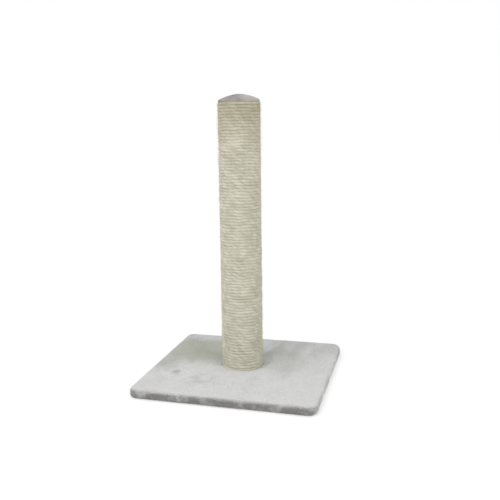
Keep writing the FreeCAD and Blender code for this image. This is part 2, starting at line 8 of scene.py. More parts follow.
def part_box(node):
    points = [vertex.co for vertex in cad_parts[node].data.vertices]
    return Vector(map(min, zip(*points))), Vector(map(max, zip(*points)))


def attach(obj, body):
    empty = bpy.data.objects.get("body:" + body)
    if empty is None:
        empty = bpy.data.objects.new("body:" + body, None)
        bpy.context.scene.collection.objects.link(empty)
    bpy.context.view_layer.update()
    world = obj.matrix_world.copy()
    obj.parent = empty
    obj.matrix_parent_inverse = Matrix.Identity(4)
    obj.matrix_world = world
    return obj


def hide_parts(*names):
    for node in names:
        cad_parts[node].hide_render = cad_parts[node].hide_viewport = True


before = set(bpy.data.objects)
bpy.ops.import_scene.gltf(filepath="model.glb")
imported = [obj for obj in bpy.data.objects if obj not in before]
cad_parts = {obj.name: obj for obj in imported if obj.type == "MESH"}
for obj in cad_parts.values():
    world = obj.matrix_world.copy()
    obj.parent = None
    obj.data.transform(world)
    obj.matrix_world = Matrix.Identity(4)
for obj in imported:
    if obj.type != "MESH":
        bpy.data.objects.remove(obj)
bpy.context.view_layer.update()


# ---- Base board ------------------------------------------------------------------------------------
# A square of raw chipboard, sawn to size and bored from below for the post's bolt.
# Its coarse pressed chips show inside the hem when the post is turned over.

def add(tree, kind, inputs=None, **settings):
    """A node with its settings. Each input is given a value, or the socket that feeds it."""
    node = tree.nodes.new(kind)
    for key, value in settings.items():
        setattr(node, key, value)
    for key, value in (inputs or {}).items():
        if isinstance(value, bpy.types.NodeSocket):
            tree.links.new(value, node.inputs[key])
        else:
            node.inputs[key].default_value = value
    return node


def linear(colour):
    """The linear colour that shows as three values of 0 to 255. A socket stays as it is."""
    if isinstance(colour, bpy.types.NodeSocket):
        return colour
    shares = [value / 255.0 for value in colour]
    return (*[x / 12.92 if x <= 0.04045 else ((x + 0.055) / 1.055) ** 2.4 for x in shares], 1.0)


def calc(tree, operation, first, second=0.5, third=0.5):
    """The result of a sum on numbers or sockets."""
    node = add(tree, "ShaderNodeMath", {0: first, 1: second, 2: third}, operation=operation)
    return node.outputs[0]


def vector_calc(tree, operation, *terms, result="Vector"):
    """The result of a sum on vectors. A length or a dot product has its result in Value."""
    node = add(tree, "ShaderNodeVectorMath", dict(enumerate(terms)), operation=operation)
    return node.outputs[result]


def vector_sum(tree, *terms):
    """The sum of (vector, factor) pairs."""
    total = (0.0, 0.0, 0.0)
    for vector, factor in terms:
        scaled = add(tree, "ShaderNodeVectorMath", {0: vector, "Scale": factor}, operation="SCALE")
        total = vector_calc(tree, "ADD", total, scaled.outputs[0])
    return total


def blend_colours(tree, share, first, second, mode="MIX"):
    """Two colours, sockets or values of 0 to 255, mixed by a share. The node has them at 6 and 7."""
    node = add(tree, "ShaderNodeMix", {0: share, 6: linear(first), 7: linear(second)},
               data_type="RGBA", blend_type=mode)
    return node.outputs[2]


def between(tree, value, low, high):
    """A soft step of a value from 0 at low to 1 at high."""
    node = add(tree, "ShaderNodeMapRange", {"Value": value, "From Min": low, "From Max": high},
               interpolation_type="SMOOTHSTEP")
    return node.outputs["Result"]


def cloudy(tree, place, scale, detail, roughness=0.5, distortion=0.0):
    """The outputs of a noise at a place: Fac and Color."""
    return add(tree, "ShaderNodeTexNoise", {
        "Vector": place, "Scale": scale, "Detail": detail, "Roughness": roughness,
        "Distortion": distortion}).outputs


def new_material(name):
    """A material, its tree, its one Principled shader, and the Object coordinates to paint by."""
    material = bpy.data.materials.new(name)
    material.use_nodes = True
    tree = material.node_tree
    tree.nodes.clear()
    surface = add(tree, "ShaderNodeBsdfPrincipled")
    add(tree, "ShaderNodeOutputMaterial", {"Surface": surface.outputs["BSDF"]})
    return material, tree, surface, add(tree, "ShaderNodeTexCoord").outputs["Object"]


def feed(tree, surface, **inputs):
    """Sets or links the shader's inputs: base_color stands for Base Color."""
    for key, value in inputs.items():
        socket = surface.inputs[key.replace("_", " ").title().replace("Ior", "IOR")]
        if isinstance(value, bpy.types.NodeSocket):
            tree.links.new(value, socket)
        else:
            socket.default_value = value


def coat(tree, surface, height, strength, distance, **inputs):
    """Feeds the shader its inputs, and a bump from a height."""
    bump = add(tree, "ShaderNodeBump", {"Height": height, "Strength": strength, "Distance": distance})
    feed(tree, surface, normal=bump.outputs["Normal"], **inputs)


def dress(node, material):
    """Puts a material on a CAD node that stays as it is."""
    for material_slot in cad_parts[node].material_slots:
        material_slot.material = material


def chipboard():
    """Flat chips of pale and brown wood, pressed at random, with darker glue between them."""
    material, tree, surface, place = new_material("chipboard")
    shifted = vector_sum(tree, (place, 1.0), (cloudy(tree, place, 60.0, 2.0)["Color"], 0.006))
    stretched = add(tree, "ShaderNodeMapping", {"Vector": shifted, "Scale": (1.0, 0.45, 1.0)})
    chips = add(tree, "ShaderNodeTexVoronoi", {"Vector": stretched.outputs[0], "Scale": 330.0}).outputs
    dust = cloudy(tree, place, 900.0, 3.0)["Fac"]
    tone = calc(tree, "ADD", calc(tree, "MULTIPLY", chips["Color"], 0.8), calc(tree, "MULTIPLY", dust, 0.25))
    colour = blend_colours(tree, tone, (142, 112, 74), (206, 178, 132))
    coat(tree, surface, calc(tree, "ADD", chips["Distance"], dust), 0.4, 0.0004,
         base_color=colour, roughness=0.85)
    return material


dress("base_board", chipboard())


# ---- Plush cover of the base -----------------------------------------------------------------------
# Short light grey plush, cut from one square, drawn over the board's edge and folded under it, with
# the corners mitred. The post's foot crushes it flat, and hands have left it brushed both ways.

PILE_STANDS = 0.0009
HALF_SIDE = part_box("base_plush")[1][0] - PILE_STANDS
PLUSH_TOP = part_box("base_plush")[1][2] - PILE_STANDS
BOARD_LOW, BOARD_HIGH = (corner[2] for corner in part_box("base_board"))
BOARD_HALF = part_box("base_board")[1][0]
BACKING_GAP = 0.0001
FOOT_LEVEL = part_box("post_tube")[0][2]
CORNER_RADIUS = 0.019
TOP_ROUNDING = 0.010
LOWER_ROUNDING = 0.008
HEM_WIDTH = 0.038
HEM_CORNER = 0.003
ROUND_COUNT = 640
TOP_RINGS = 60
HEM_RINGS = 16
CIRCLE = 0.999
SEAT_RADIUS = 0.0466
BOLT_HOLE_RADIUS = 0.0045
STAPLE_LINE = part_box("base_hem_staples")[1][0] - 0.0006
STAPLE_SPACING = 0.0648
STAPLE_CROWN = 0.010
END_STAPLE = 2


def square_ring(half, corner, height, count):
    """Points evenly spaced round a square with round corners, from the middle of its +X side."""
    straight = half - corner
    bend = math.pi * corner / 2
    quarter = 2 * straight + bend
    points = []
    for index in range(count):
        side, along = divmod(4.0 * index / count, 1.0)
        along = along * quarter
        if along < straight:
            x, y = half, along
        elif along < straight + bend:
            angle = (along - straight) / corner
            x, y = straight + corner * math.cos(angle), straight + corner * math.sin(angle)
        else:
            x, y = straight - (along - straight - bend), half
        turn = side * math.pi / 2
        points.append(Vector((x * math.cos(turn) - y * math.sin(turn),
                              x * math.sin(turn) + y * math.cos(turn), height)))
    return points


def bridge(first, second):
    """Faces between two rings of vertex numbers, the same in count or twice as many in one."""
    if len(first) < len(second):
        return [tuple(reversed(face)) for face in bridge(second, first)]
    faces = []
    for index in range(len(second)):
        low, high = second[index], second[(index + 1) % len(second)]
        if len(first) == len(second):
            faces.append((first[index], low, high, first[(index + 1) % len(first)]))
        else:
            near, middle, far = first[2 * index], first[2 * index + 1], first[(2 * index + 2) % len(first)]
            faces += [(near, low, middle), (middle, low, high), (middle, high, far)]
    return faces


def mesh_of_rings(name, rings, closed_loop=False, free=None):
    """An object from rings of points, joined in order. A ring of one point closes a pole.
    free holds, for each ring, how freely the cloth's pile stands there."""
    vertices, numbers, faces = [], [], []
    for ring in rings:
        numbers.append(list(range(len(vertices), len(vertices) + len(ring))))
        vertices.extend(ring)
    pairs = list(zip(numbers, numbers[1:]))
    if closed_loop:
        pairs.append((numbers[-1], numbers[0]))
    for first, second in pairs:
        if len(first) == 1:
            faces += [(first[0], second[i], second[(i + 1) % len(second)]) for i in range(len(second))]
        elif len(second) == 1:
            faces += [(first[i], second[0], first[(i + 1) % len(first)]) for i in range(len(first))]
        else:
            faces += bridge(first, second)
    mesh = bpy.data.meshes.new(name)
    mesh.from_pydata(vertices, [], faces)
    mesh.shade_smooth()
    if free:
        marks = mesh.attributes.new("free_pile", "FLOAT", "POINT")
        marks.data.foreach_set("value", [mark for mark, ring in zip(free, rings) for _ in ring])
    piece = bpy.data.objects.new(name, mesh)
    bpy.context.collection.objects.link(piece)
    return piece


def turn_outwards(piece):
    """Recalculates a closed mesh's faces so that they point outwards."""
    shell = bmesh.new()
    shell.from_mesh(piece.data)
    bmesh.ops.recalc_face_normals(shell, faces=shell.faces)
    if shell.calc_volume(signed=True) < 0:
        bmesh.ops.reverse_faces(shell, faces=shell.faces)
    shell.to_mesh(piece.data)
    shell.free()


def cover_section():
    """(inset from the outer side, height, how far the pile stands free) round the cover's section."""
    steps = []
    upper, lower = 8, 7
    for index in range(upper + 1):
        angle = math.pi / 2 * (1 - index / upper)
        steps.append((TOP_ROUNDING * (1 - math.cos(angle)),
                      PLUSH_TOP - TOP_ROUNDING * (1 - math.sin(angle)), 1.0))
    steps.append((0.0, (PLUSH_TOP - TOP_ROUNDING + LOWER_ROUNDING) / 2, 1.0))
    for index in range(lower + 1):
        angle = math.pi / 2 * index / lower
        steps.append((LOWER_ROUNDING * (1 - math.cos(angle)), LOWER_ROUNDING * (1 - math.sin(angle)),
                      max(1.0 - index / 5, 0.001)))
    for index in range(1, HEM_RINGS + 1):
        steps.append((LOWER_ROUNDING + (HEM_WIDTH - LOWER_ROUNDING) * index / HEM_RINGS, 0.0, 0.0))
    return steps


def plan_corner(half):
    """The corner radius in plan of a ring: the base's own at its edge, a circle at the post."""
    flat_edge = HALF_SIDE - TOP_ROUNDING
    edge_corner = CORNER_RADIUS - TOP_ROUNDING
    share = min(max((flat_edge - half) / (flat_edge - SEAT_RADIUS), 0.0), 1.0)
    return edge_corner + (SEAT_RADIUS - edge_corner) * share


def cover_rings():
    """(part, how freely the pile stands, ring of points) of the cover: seat, top, edge and hem outside,
    then back inside against the board. Near the post the rings have fewer points."""
    rings = []
    coarse, middle = ROUND_COUNT // 4, ROUND_COUNT // 2
    seat_edge, lip_drop, lip_width, full_count_from = 0.002, 0.0012, 0.0015, 0.1

    def ring(part, stands, half, corner, height, count):
        rings.append((part, stands, square_ring(half, corner, height, count)))

    for radius in (BOLT_HOLE_RADIUS, 0.016, 0.031, SEAT_RADIUS - seat_edge):
        ring("seat", 0.0, radius, radius * CIRCLE, FOOT_LEVEL, coarse)
    ring("top", 0.0, SEAT_RADIUS, SEAT_RADIUS * CIRCLE, PLUSH_TOP - lip_drop, coarse)
    flat_edge = HALF_SIDE - TOP_ROUNDING
    start = SEAT_RADIUS + lip_width
    for index in range(TOP_RINGS):
        half = start + (flat_edge - start) * index / TOP_RINGS
        count = middle if half < full_count_from else ROUND_COUNT
        ring("top", 1.0, half, plan_corner(half), PLUSH_TOP, count)
    for inset, height, stands in cover_section():
        ring("edge" if stands else "hem", stands, HALF_SIDE - inset,
             max(CORNER_RADIUS - inset, HEM_CORNER), height, ROUND_COUNT)
    inner_corner = CORNER_RADIUS - (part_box("base_plush")[1][0] - BOARD_HALF)
    window, wall = HALF_SIDE - HEM_WIDTH, BOARD_HALF + BACKING_GAP
    below, above = BOARD_LOW - BACKING_GAP, BOARD_HIGH + BACKING_GAP
    ring("inside", 0.0, window, HEM_CORNER, below, ROUND_COUNT)
    ring("inside", 0.0, (window + BOARD_HALF) / 2, 0.008, below, middle)
    ring("inside", 0.0, wall, inner_corner, below, middle)
    ring("inside", 0.0, wall, inner_corner, above, middle)
    ring("inside", 0.0, 0.10, 0.05, above, middle)
    ring("inside", 0.0, 0.03, 0.0299, above, coarse)
    ring("inside", 0.0, BOLT_HOLE_RADIUS, BOLT_HOLE_RADIUS * CIRCLE, above, coarse)
    return rings


def pile_height(point):
    """How far the pile stands above or below its mean level, in clumps and brushed lanes."""
    clump_height, clump_scale, lane_height = 0.00030, 110.0, 0.00045
    clumps = noise.fractal(point * clump_scale, 1.0, 2.0, 2, noise_basis="PERLIN_ORIGINAL")
    lanes = noise.noise(Vector((point.x * 16.0, point.y * 34.0, point.z * 30.0)) + Vector((3.1, 7.7, 1.3)))
    return clump_height * clumps + lane_height * lanes


def rim_of_pile(point):
    """The pile that stands up round the post's foot, uneven as fingers left it."""
    highest, falls_off, reach = 0.0016, 0.004, 0.012
    distance = math.hypot(point.x, point.y) - SEAT_RADIUS
    if distance < 0 or distance > reach:
        return 0.0
    angle = math.atan2(point.y, point.x)
    lumps = 0.6 + 0.6 * noise.noise(Vector((math.cos(angle) * 4.0, math.sin(angle) * 4.0, 5.0)))
    return highest * lumps * math.exp(-(distance / falls_off) ** 2)


def mitre_groove(point):
    """How far the hem is drawn up along the mitre of each corner."""
    deepest, width = 0.0012, 0.0018
    off = (abs(point.x) - abs(point.y)) / math.sqrt(2)
    return deepest * math.exp(-(off / width) ** 2)


def staple_dimple(point):
    """How far the hem is drawn up round the nearest staple's crown."""
    deepest, reach = 0.0011, 0.0028
    if abs(point.x) > abs(point.y):
        across, along = abs(point.x) - STAPLE_LINE, point.y
    else:
        across, along = abs(point.y) - STAPLE_LINE, point.x
    nearest = STAPLE_SPACING * max(min(round(along / STAPLE_SPACING), END_STAPLE), -END_STAPLE)
    beyond = max(abs(along - nearest) - STAPLE_CROWN / 2, 0.0)
    return deepest * math.exp(-(across ** 2 + beyond ** 2) / reach ** 2)


def base_cover():
    """The cover's mesh: a closed sheet with its pile raised and dropped in soft clumps."""
    rings, free, least_free = [], [], 0.3
    middle_level = (PLUSH_TOP - TOP_ROUNDING + LOWER_ROUNDING) / 2
    core = HALF_SIDE - CORNER_RADIUS
    for part, stands, ring in cover_rings():
        moved = []
        for point in ring:
            shift = Vector((0, 0, 0))
            if part == "top":
                shift.z = pile_height(point) + rim_of_pile(point)
            elif part == "edge":
                nearest = Vector((min(max(point.x, -core), core), min(max(point.y, -core), core),
                                  middle_level))
                shift = (point - nearest).normalized() * pile_height(point) * stands
            elif part == "hem":
                shift.z = mitre_groove(point) + staple_dimple(point)
            moved.append(point + shift)
        rings.append(moved)
        free.append(stands if stands > least_free else 0.0)
    piece = mesh_of_rings("base_cover", rings, closed_loop=True, free=free)
    turn_outwards(piece)
    return piece


def new_group(name, kind, inputs, outputs):
    """A node group with sockets of the kinds given by name, and its input node's sockets."""
    group = bpy.data.node_groups.new(name, kind)
    for way, sockets in (("INPUT", inputs), ("OUTPUT", outputs)):
        for label, socket_kind in sockets.items():
            group.interface.new_socket(label, in_out=way, socket_type="NodeSocket" + socket_kind)
    return group, add(group, "NodeGroupInput").outputs


def pile_grain_group():
    """The fine grain of the pile, which colours it and roughens it."""
    group, given = new_group("pile_grain", "ShaderNodeTree", {"Vector": "Vector", "Grain Scale": "Float"},
                             {"Grain": "Float"})
    grain = cloudy(group, given["Vector"], given["Grain Scale"], 4.0, roughness=0.65)
    add(group, "NodeGroupOutput", {"Grain": grain["Fac"]})
    return group


PILE_GRAIN = pile_grain_group()


def parts_of(tree, vector):
    """The X, Y and Z of a vector."""
    return add(tree, "ShaderNodeSeparateXYZ", {0: vector}).outputs


def soft_oval_patch(tree, place, centre, reach, softness):
    """1 inside an oval patch on the base, round its centre, and 0 outside it."""
    moved = add(tree, "ShaderNodeMapping", {"Vector": place, "Location": (*centre, 0.0)},
                vector_type="TEXTURE")
    scaled = vector_calc(tree, "MULTIPLY", moved.outputs[0], (1 / reach[0], 1 / reach[1], 0.0))
    distance = vector_calc(tree, "LENGTH", scaled, result="Value")
    return between(tree, distance, 1.0 + softness, 1.0 - softness)


def base_plush_colour_and_shade(tree, place):
    """The base's grey, by place: pale towards the front and along the right edge, with painted shade towards
    the back and in patches behind the post, painted light on the back right corner, and painted shade down
    the front side, where the pile is seen against its lie."""
    fine = cloudy(tree, place, 55.0, 2.0)
    wander = vector_sum(tree, (cloudy(tree, place, 12.0, 2.0)["Color"], 0.05), (fine["Color"], 0.016))
    centred = vector_calc(tree, "SUBTRACT", wander, (0.033, 0.033, 0.033))
    wavy = vector_calc(tree, "ADD", place, centred)
    streaked = add(tree, "ShaderNodeMapping", {"Vector": wavy, "Scale": (1.0, 0.35, 1.0)})
    streaks = cloudy(tree, streaked.outputs[0], 26.0, 3.0)["Fac"]
    faint = calc(tree, "MULTIPLY", between(tree, streaks, 0.58, 0.72), 0.35)
    colour = blend_colours(tree, faint, (201, 201, 200), (184, 184, 183))
    # Painted shade: the back of the top is painted darker, in streaks, and so is a strip along its left
    # edge.
    back_shade = calc(tree, "MAXIMUM", between(tree, parts_of(tree, wavy)["Y"], -0.036, -0.018),
                soft_oval_patch(tree, wavy, (-0.185, -0.045), (0.040, 0.075), 0.2))
    back_shade_grey = blend_colours(tree, between(tree, streaks, 0.35, 0.65),
                              (179, 179, 177), (197, 197, 196))
    colour = blend_colours(tree, back_shade, colour, back_shade_grey)
    scuffs = calc(tree, "MULTIPLY", between(tree, fine["Fac"], 0.47, 0.56), 0.5)
    for centre, reach, softness, strength, grey in (
            # Painted shade behind the post on its left, faintly warm.
            ((-0.120, 0.072), (0.088, 0.080), 0.35, 0.9, (177, 179, 168)),
            # Painted shade behind the post on its right.
            ((0.105, 0.025), (0.045, 0.075), 0.5, 0.45, (179, 179, 176)),
            ((-0.062, -0.118), (0.030, 0.036), 0.4, scuffs, (180, 180, 178)),
            ((0.190, -0.020), (0.050, 0.120), 0.3, 0.8, (199, 199, 198)),
            # Painted light on the back right corner, lifting the shade that the post and the lamps leave
            # there.
            ((0.160, 0.150), (0.070, 0.080), 0.5, 0.3, (208, 208, 207))):
        patch = soft_oval_patch(tree, wavy, centre, reach, softness)
        colour = blend_colours(tree, calc(tree, "MULTIPLY", patch, strength), colour, grey)
    edge = between(tree, parts_of(tree, place)["Z"], PLUSH_TOP - 0.0004, PLUSH_TOP - 0.0072)
    mottle = cloudy(tree, place, 42.0, 3.0, roughness=0.6)["Fac"]
    # Painted shade: the side facing the front is painted dark and mottled, where the pile is seen against
    # its lie; the other sides stay pale.
    front_side_shade = blend_colours(tree, between(tree, mottle, 0.45, 0.75),
                               (126, 125, 123), (172, 171, 169))
    far_side = blend_colours(tree, mottle, (192, 192, 191), (210, 210, 209))
    facing = parts_of(tree, add(tree, "ShaderNodeTexCoord").outputs["Normal"])
    side = blend_colours(tree, between(tree, facing["Y"], -0.35, -0.80), far_side, front_side_shade)
    return blend_colours(tree, edge, colour, side)


def plush_shader(name, colour_maker, grain_scale, grain_depth):
    """Plush: matt, with a soft sheen and the grain of its pile. Tufts are paler towards their tips."""
    material, tree, surface, place = new_material(name)
    grain = add(tree, "ShaderNodeGroup", {"Vector": place, "Grain Scale": grain_scale},
                node_tree=PILE_GRAIN).outputs["Grain"]
    tip = add(tree, "ShaderNodeAttribute", attribute_name="pile_tip").outputs["Fac"]
    tone = add(tree, "ShaderNodeAttribute", attribute_name="pile_tone").outputs["Fac"]
    speck = calc(tree, "MULTIPLY_ADD", grain, 0.16, 0.94)
    speck = calc(tree, "MULTIPLY_ADD", tip, 0.40, calc(tree, "MULTIPLY_ADD", tone, 0.24, speck))
    grey = add(tree, "ShaderNodeCombineColor", {0: speck, 1: speck, 2: speck})
    colour = blend_colours(tree, 1.0, colour_maker(tree, place), grey.outputs[0], "MULTIPLY")
    coat(tree, surface, grain, 0.5, grain_depth, base_color=colour, roughness=0.95,
         sheen_weight=0.12, sheen_roughness=0.6, specular_ior_level=0.1)
    return material


def new_tree(name, floats, others):
    """A geometry tree, and its input node's sockets: floats by name, and others as (name: kind)."""
    inputs = {"Geometry": "Geometry", **dict.fromkeys(floats, "Float"), **others, "Material": "Material"}
    return new_group(name, "GeometryNodeTree", inputs, {"Geometry": "Geometry"})


def give_out(tree, geometry, material):
    """Ends a geometry tree with its result, in a material."""
    painted = add(tree, "GeometryNodeSetMaterial", {"Geometry": geometry, "Material": material})
    add(tree, "NodeGroupOutput", {"Geometry": painted.outputs["Geometry"]})


def marked(tree, geometry, name, value, domain="POINT"):
    """The geometry with a number kept on it, which its material can read by name."""
    node = add(tree, "GeometryNodeStoreNamedAttribute", {
        "Geometry": geometry, "Name": name, "Value": value}, data_type="FLOAT", domain=domain)
    return node.outputs["Geometry"]


def grown(piece_name, tree, values, surface=None):
    """The plain mesh object that a geometry tree makes on a surface, with its inputs set by name."""
    empty = bpy.data.meshes.new(piece_name + "_empty")
    start = bpy.data.objects.new(piece_name + "_start", surface or empty)
    bpy.context.collection.objects.link(start)
    modifier = start.modifiers.new("grow", "NODES")
    modifier.node_group = tree
    identifiers = {item.name: item.identifier for item in tree.interface.items_tree
                   if item.item_type == "SOCKET" and item.in_out == "INPUT"}
    for label, value in values.items():
        modifier[identifiers[label]] = value
    graph = bpy.context.evaluated_depsgraph_get()
    mesh = bpy.data.meshes.new_from_object(start.evaluated_get(graph), depsgraph=graph)
    bpy.data.objects.remove(start)
    bpy.data.meshes.remove(empty)
    mesh.name = piece_name
    piece = bpy.data.objects.new(piece_name, mesh)
    bpy.context.collection.objects.link(piece)
    return piece


def random_value(tree, low, high, seed):
    """A random number or vector for each element."""
    kind = "FLOAT_VECTOR" if isinstance(low, tuple) else "FLOAT"
    node = add(tree, "FunctionNodeRandomValue", {"Seed": seed}, data_type=kind)
    low_socket, high_socket = [x for x in node.inputs if x.enabled][:2]
    low_socket.default_value = low
    high_socket.default_value = high
    return next(x for x in node.outputs if x.enabled)


def pile_tree():
    """Tapered tufts all over a cloth where it is marked as free, leaning together in brushed lanes."""
    tree, given = new_tree("plush_pile", (
        "Spacing", "Tuft Length", "Root Radius", "Swing", "Lane Scale", "Steepness", "Stray", "Lowest"),
        {"Brushed Towards": "Vector", "Seed": "Int"})
    place = add(tree, "GeometryNodeInputPosition").outputs[0]
    seed = given["Seed"]
    free = add(tree, "GeometryNodeInputNamedAttribute", {"Name": "free_pile"}, data_type="FLOAT")
    closest = calc(tree, "DIVIDE", 1.0, calc(tree, "MULTIPLY", given["Spacing"], given["Spacing"]))
    roots = add(tree, "GeometryNodeDistributePointsOnFaces", {
        "Mesh": given["Geometry"], "Distance Min": given["Spacing"], "Density Max": closest,
        "Density Factor": free.outputs[0], "Seed": seed}, distribute_method="POISSON").outputs
    normal = roots["Normal"]
    lanes = cloudy(tree, place, given["Lane Scale"], 1.0)["Color"]
    swing = vector_calc(tree, "SUBTRACT", lanes, (0.5, 0.5, 0.5))
    brushed = vector_sum(tree, (given["Brushed Towards"], 1.0), (swing, given["Swing"]))
    sunk = vector_calc(tree, "PROJECT", brushed, normal)
    level = vector_calc(tree, "NORMALIZE", vector_calc(tree, "SUBTRACT", brushed, sunk))
    stray = random_value(tree, (-1.0, -1.0, -1.0), (1.0, 1.0, 1.0), seed)
    direction = vector_sum(tree, (level, 1.0), (normal, given["Steepness"]), (stray, given["Stray"]))
    leaning = add(tree, "FunctionNodeAxesToRotation", {
        "Primary Axis": direction, "Secondary Axis": normal}, primary_axis="Z", secondary_axis="X")
    tuft = add(tree, "GeometryNodeMeshCone", {
        "Vertices": 3, "Side Segments": 1, "Fill Segments": 1, "Radius Top": 0.0,
        "Radius Bottom": given["Root Radius"], "Depth": given["Tuft Length"]}, fill_type="NGON")
    from_root = calc(tree, "DIVIDE", parts_of(tree, place)["Z"], given["Tuft Length"])
    tufts = add(tree, "GeometryNodeInstanceOnPoints", {
        "Points": roots["Points"], "Instance": marked(tree, tuft.outputs["Mesh"], "pile_tip", from_root),
        "Rotation": leaning.outputs[0],
        "Scale": random_value(tree, (0.30, 0.75, 0.65), (0.45, 1.25, 1.30), seed)})
    toned = marked(tree, tufts.outputs["Instances"], "pile_tone", random_value(tree, 0.0, 1.0, seed),
                   "INSTANCE")
    real = add(tree, "GeometryNodeRealizeInstances", {"Geometry": toned})
    parts = parts_of(tree, place)
    above = add(tree, "ShaderNodeCombineXYZ", {
        0: parts["X"], 1: parts["Y"], 2: calc(tree, "MAXIMUM", parts["Z"], given["Lowest"])})
    pressed = add(tree, "GeometryNodeSetPosition", {"Geometry": real.outputs["Geometry"],
                                                    "Position": above.outputs[0]})
    facetted = add(tree, "GeometryNodeSetShadeSmooth", {"Geometry": pressed.outputs["Geometry"],
                                                        "Shade Smooth": False})
    give_out(tree, facetted.outputs["Geometry"], given["Material"])
    return tree


base_cover_piece = base_cover()
base_plush_material = plush_shader("base_plush", base_plush_colour_and_shade, 420.0, 0.0012)
base_cover_piece.data.materials.append(base_plush_material)
plush_pile = pile_tree()
for seed in (1, 2, 3):
    pile_piece = grown("base_pile_%d" % seed, plush_pile, {
        "Spacing": 0.0015, "Tuft Length": 0.0032, "Root Radius": 0.00054,
        "Brushed Towards": (0.0, 1.0, -0.7), "Swing": 4.0, "Lane Scale": 14.0, "Steepness": 0.33,
        "Stray": 0.20, "Lowest": 0.0001, "Seed": seed, "Material": base_plush_material},
        base_cover_piece.data)
    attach(pile_piece, "root")
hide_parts("base_plush")
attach(base_cover_piece, "root")


# ---- Staples in the hem ----------------------------------------------------------------------------
# Galvanised staples of flat wire, shot through the folded plush into the board's underside. They stand
# in a row along each side, and the pile closes round their crowns.

def tarnish_group():
    """Cloudy dulling and fine drawn scratches of plated steel."""
    group, given = new_group("plated_steel_wear", "ShaderNodeTree",
                             {"Vector": "Vector", "Cloud Scale": "Float"},
                             {"Dullness": "Float", "Scratches": "Float"})
    clouds = cloudy(group, given["Vector"], given["Cloud Scale"], 4.0)["Fac"]
    drawn = add(group, "ShaderNodeMapping", {"Vector": given["Vector"], "Scale": (1.0, 1.0, 0.08)})
    add(group, "NodeGroupOutput", {
        "Dullness": calc(group, "MULTIPLY_ADD", clouds, 0.35, 0.22),
        "Scratches": cloudy(group, drawn.outputs[0], 2600.0, 2.0)["Fac"]})
    return group


STEEL_WEAR = tarnish_group()


def plated_steel(name, bright, dull, cloud_scale):
    """Steel with a thin zinc coat, brighter and duller in clouds."""
    material, tree, surface, place = new_material(name)
    wear = add(tree, "ShaderNodeGroup", {"Vector": place, "Cloud Scale": cloud_scale},
               node_tree=STEEL_WEAR).outputs
    colour = blend_colours(tree, wear["Dullness"], bright, dull)
    coat(tree, surface, wear["Scratches"], 0.15, 0.00005, base_color=colour, metallic=1.0,
         roughness=wear["Dullness"])
    return material


staple_wire = plated_steel("staple_wire", (208, 208, 206), (150, 150, 150), 300.0)
dress("base_hem_staples", staple_wire)


# ---- Post tube -------------------------------------------------------------------------------------
# A tube wound from strips of brown board and glued, with the strips' joints running up it in a spiral.
# Rope hides it but for slivers between the turns.

def grain_group():
    """Long streaks of fibre along Z, as in sawn wood and brown board."""
    group, given = new_group("long_fibre_grain", "ShaderNodeTree",
                             {"Vector": "Vector", "Fibre Scale": "Float", "Stretch": "Vector"},
                             {"Streaks": "Float"})
    drawn = vector_calc(group, "MULTIPLY", given["Vector"], given["Stretch"])
    streaks = cloudy(group, drawn, given["Fibre Scale"], 5.0, roughness=0.6, distortion=0.3)
    add(group, "NodeGroupOutput", {"Streaks": streaks["Fac"]})
    return group


FIBRE_GRAIN = grain_group()


def grained(tree, place, scale, stretch):
    """The streaks of the fibre grain at a scale."""
    return add(tree, "ShaderNodeGroup", {"Vector": place, "Fibre Scale": scale, "Stretch": stretch},
               node_tree=FIBRE_GRAIN).outputs["Streaks"]


def cardboard():
    """Brown board with a spiral joint every strip's width."""
    strip_width = 0.085
    material, tree, surface, place = new_material("cardboard")
    parts = parts_of(tree, place)
    angle = calc(tree, "ARCTAN2", parts["Y"], parts["X"])
    climb = calc(tree, "ADD", calc(tree, "DIVIDE", parts["Z"], strip_width),
                 calc(tree, "DIVIDE", angle, 2 * math.pi))
    off = calc(tree, "ABSOLUTE", calc(tree, "SUBTRACT", calc(tree, "FRACT", climb), 0.5))
    joint = between(tree, off, 0.02, 0.006)
    streaks = grained(tree, place, 500.0, (1.0, 1.0, 0.3))
    colour = blend_colours(tree, streaks, (150, 118, 84), (188, 156, 118))
    colour = blend_colours(tree, calc(tree, "MULTIPLY", joint, 0.6), colour, (96, 72, 50))
    coat(tree, surface, calc(tree, "SUBTRACT", streaks, joint), 0.3, 0.0003, base_color=colour,
         roughness=0.8)
    return material


dress("post_tube", cardboard())


# ---- Plugs and their brads -------------------------------------------------------------------------
# Discs of softwood glued and nailed into both ends of the tube. The lower one takes the bolt, and the
# upper one carries the cap.

def plug_wood():
    """Sawn softwood: rings round a heart off the disc's middle, with fine streaks across them."""
    material, tree, surface, place = new_material("plug_wood")
    moved = add(tree, "ShaderNodeMapping", {"Vector": place, "Location": (0.05, 0.03, 0.0),
                                            "Scale": (1.0, 1.0, 0.05)})
    rings = add(tree, "ShaderNodeTexWave", {"Vector": moved.outputs[0], "Scale": 60.0, "Distortion": 3.0,
                                            "Detail": 2.0}, wave_type="RINGS", rings_direction="Z")
    streaks = grained(tree, place, 700.0, (1.0, 1.0, 0.1))
    tone = calc(tree, "MULTIPLY_ADD", streaks, 0.35, calc(tree, "MULTIPLY", rings.outputs["Fac"], 0.6))
    colour = blend_colours(tree, tone, (214, 182, 134), (168, 128, 82))
    coat(tree, surface, streaks, 0.3, 0.0003, base_color=colour, roughness=0.75)
    return material


softwood = plug_wood()
zinc = plated_steel("zinc_steel", (214, 216, 220), (152, 156, 164), 120.0)
dress("bottom_plug", softwood)
dress("top_plug", softwood)
dress("bottom_plug_brads", zinc)
dress("top_plug_brads", zinc)


# ---- Nut, bolt and washer --------------------------------------------------------------------------
# Zinc-plated steel. The bolt goes up through washer, board and plush into the pronged nut, and pulls
# the post down onto its base.

dress("post_t_nut", zinc)
dress("post_bolt", zinc)
dress("bolt_washer", zinc)


